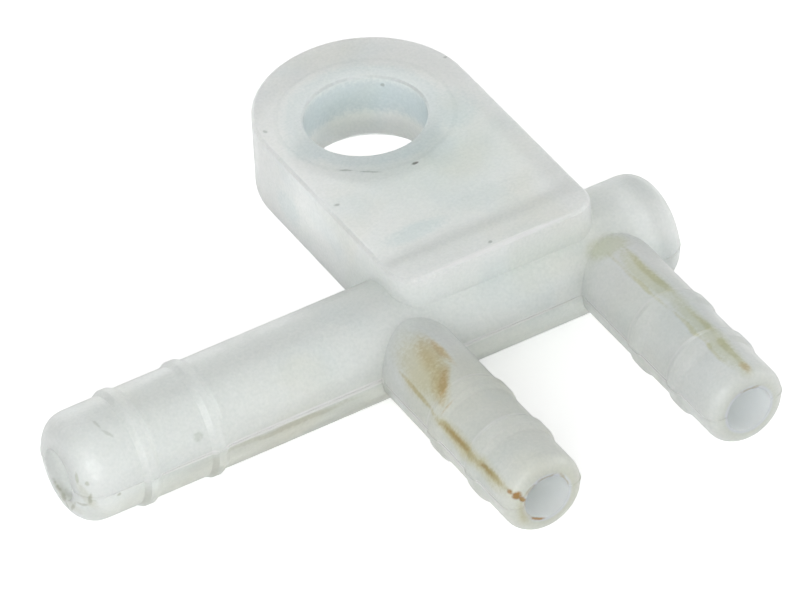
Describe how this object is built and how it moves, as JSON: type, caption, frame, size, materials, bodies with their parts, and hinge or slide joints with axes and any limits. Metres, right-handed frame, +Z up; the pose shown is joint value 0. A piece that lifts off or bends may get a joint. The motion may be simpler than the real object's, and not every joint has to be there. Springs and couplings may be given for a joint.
{
  "type": "two outlet hose manifold with screw lug",
  "caption": "One-piece moulded hose manifold: a beaded inlet tube, closed at its far end, with right-angle beaded outlets and a flat screw lug.",
  "frame": {"origin": "on the axis of the lug's screw hole, level with the lug's underside", "axes": "+X along the tube towards its closed end, +Y away from the outlets, +Z up the screw hole, from the lug's underside to its top"},
  "size_m": [0.0475, 0.045, 0.01],
  "materials": {
    "natural_plastic": "milky translucent natural polypropylene, satin, with brown and olive water stains in both outlets"
  },
  "bodies": {
    "root": {"connector_body": "natural_plastic"}
  },
  "joints": []
}
